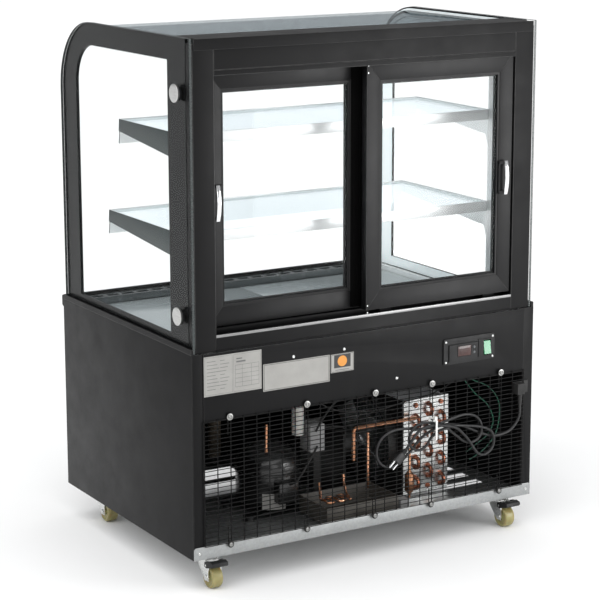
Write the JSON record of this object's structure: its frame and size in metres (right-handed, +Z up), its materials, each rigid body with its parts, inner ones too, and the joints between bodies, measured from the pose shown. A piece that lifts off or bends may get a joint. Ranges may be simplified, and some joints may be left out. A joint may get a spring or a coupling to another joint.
{
  "type": "bakery display case",
  "caption": "Refrigerated bakery display case with curved glass front, sliding rear doors, two glass shelves, wire guard, machine compartment and casters.",
  "frame": {"origin": "centre of the footprint, on the floor under the casters", "axes": "+Z up, -Y towards the customer and the curved glass, +Y towards the server and the sliding doors, +X to the server's left"},
  "size_m": [0.919, 0.6987, 1.207],
  "materials": {
    "aluminium": "fin stock",
    "amber_plastic": "amber nylon",
    "black_plastic": "matt black moulding",
    "black_steel": "satin black powder coat",
    "chrome": "bright plate",
    "clear_glass": "clear toughened glass",
    "copper": "bare copper tube",
    "cord_rubber": "black cable sheath",
    "foam": "foam-filled liner",
    "green": "green switch",
    "grey_plastic": "grey moulding",
    "label": "blank plate",
    "red_window": "dark red window",
    "stainless": "brushed stainless steel",
    "white_plastic": "white nylon",
    "zinc": "galvanised sheet"
  },
  "bodies": {
    "case": {"floor_pan": "zinc", "side_panel_left": "black_steel", "side_panel_right": "black_steel", "front_panel": "black_steel", "base_bead": "black_steel", "service_panel": "black_steel", "panel_screws": "chrome", "label_plates": "label", "mesh_guard": "black_plastic", "guard_screws": "chrome", "control_bezel": "black_plastic", "thermostat_body": "black_plastic", "display_window": "red_window", "insulated_tub": "foam", "deck_panels": "stainless", "air_duct": "stainless", "evaporator_coil": "aluminium", "compressor": "black_steel", "condenser_coil": "aluminium", "fan_shroud": "black_steel", "refrigerant_lines": "copper", "electrical_box": "zinc", "condensate_pan": "zinc", "rear_frame": "black_steel", "rear_sill": "black_steel", "top_cap": "black_steel", "light_bar": "zinc", "front_glass": "clear_glass", "side_glasses": "clear_glass", "side_edgings": "black_plastic", "glass_standoffs": "stainless", "shelf_frames": "stainless", "shelf_glasses": "clear_glass", "shelf_uprights": "stainless", "caster_plates": "zinc", "power_cord": "cord_rubber", "mains_plug": "cord_rubber", "cord_tie": "white_plastic", "strain_relief": "black_plastic"},
    "door_left": {"door_left_frame": "black_steel", "door_left_glass": "clear_glass", "door_left_handle": "chrome"},
    "door_right": {"door_right_frame": "black_steel", "door_right_glass": "clear_glass", "door_right_handle": "chrome"},
    "rocker": {"rocker_switch": "green"},
    "key_up": {"key_up": "grey_plastic"},
    "key_down": {"key_down": "grey_plastic"},
    "condenser_fan": {"condenser_fan": "aluminium"},
    "evaporator_fan": {"evaporator_fan": "black_plastic"},
    "fork_rear_left": {"caster_fork_rear_left": "zinc"},
    "wheel_rear_left": {"caster_wheel_rear_left": "amber_plastic"},
    "fork_rear_right": {"caster_fork_rear_right": "zinc"},
    "wheel_rear_right": {"caster_wheel_rear_right": "amber_plastic"},
    "fork_front_left": {"caster_fork_front_left": "zinc"},
    "wheel_front_left": {"caster_wheel_front_left": "amber_plastic"},
    "fork_front_right": {"caster_fork_front_right": "zinc"},
    "wheel_front_right": {"caster_wheel_front_right": "amber_plastic"},
    "pedal_left": {"brake_pedal_left": "black_plastic"},
    "pedal_right": {"brake_pedal_right": "black_plastic"}
  },
  "joints": [
    {"name": "door_left_slide", "type": "slide", "parent": "case", "child": "door_left", "axis": [-1, 0, 0], "range_m": [0, 0.34]},
    {"name": "door_right_slide", "type": "slide", "parent": "case", "child": "door_right", "axis": [1, 0, 0], "range_m": [0, 0.34]},
    {"name": "rocker_tip", "type": "hinge", "parent": "case", "child": "rocker", "pos_m": [-0.318, 0.325, 0.457], "axis": [-1, 0, 0], "range_deg": [0, 15]},
    {"name": "key_up_press", "type": "slide", "parent": "case", "child": "key_up", "axis": [0, -1, 0], "range_m": [0, 0.001], "stiffness_N_per_m": 400, "springref_m": -0.001},
    {"name": "key_down_press", "type": "slide", "parent": "case", "child": "key_down", "axis": [0, -1, 0], "range_m": [0, 0.001], "stiffness_N_per_m": 400, "springref_m": -0.001},
    {"name": "condenser_fan_spin", "type": "hinge", "parent": "case", "child": "condenser_fan", "pos_m": [-0.128, 0.078, 0.2], "axis": [1, 0, 0], "continuous": true},
    {"name": "evaporator_fan_spin", "type": "hinge", "parent": "case", "child": "evaporator_fan", "pos_m": [0.06, -0.13, 0.466], "axis": [0, 0, 1], "continuous": true},
    {"name": "swivel_rear_left", "type": "hinge", "parent": "case", "child": "fork_rear_left", "pos_m": [0.397, 0.28, 0.063], "axis": [0, 0, 1], "continuous": true},
    {"name": "roll_rear_left", "type": "hinge", "parent": "fork_rear_left", "child": "wheel_rear_left", "pos_m": [0.397, 0.302, 0.025], "axis": [1, 0, 0], "continuous": true},
    {"name": "swivel_rear_right", "type": "hinge", "parent": "case", "child": "fork_rear_right", "pos_m": [-0.397, 0.28, 0.063], "axis": [0, 0, 1], "continuous": true},
    {"name": "roll_rear_right", "type": "hinge", "parent": "fork_rear_right", "child": "wheel_rear_right", "pos_m": [-0.397, 0.302, 0.025], "axis": [1, 0, 0], "continuous": true},
    {"name": "swivel_front_left", "type": "hinge", "parent": "case", "child": "fork_front_left", "pos_m": [0.397, -0.246, 0.063], "axis": [0, 0, 1], "continuous": true},
    {"name": "roll_front_left", "type": "hinge", "parent": "fork_front_left", "child": "wheel_front_left", "pos_m": [0.397, -0.224, 0.025], "axis": [1, 0, 0], "continuous": true},
    {"name": "swivel_front_right", "type": "hinge", "parent": "case", "child": "fork_front_right", "pos_m": [-0.397, -0.246, 0.063], "axis": [0, 0, 1], "continuous": true},
    {"name": "roll_front_right", "type": "hinge", "parent": "fork_front_right", "child": "wheel_front_right", "pos_m": [-0.397, -0.224, 0.025], "axis": [1, 0, 0], "continuous": true},
    {"name": "brake_left", "type": "hinge", "parent": "fork_rear_left", "child": "pedal_left", "pos_m": [0.397, 0.304, 0.054], "axis": [-1, 0, 0], "range_deg": [0, 12]},
    {"name": "brake_right", "type": "hinge", "parent": "fork_rear_right", "child": "pedal_right", "pos_m": [-0.397, 0.304, 0.054], "axis": [-1, 0, 0], "range_deg": [0, 12]}
  ]
}
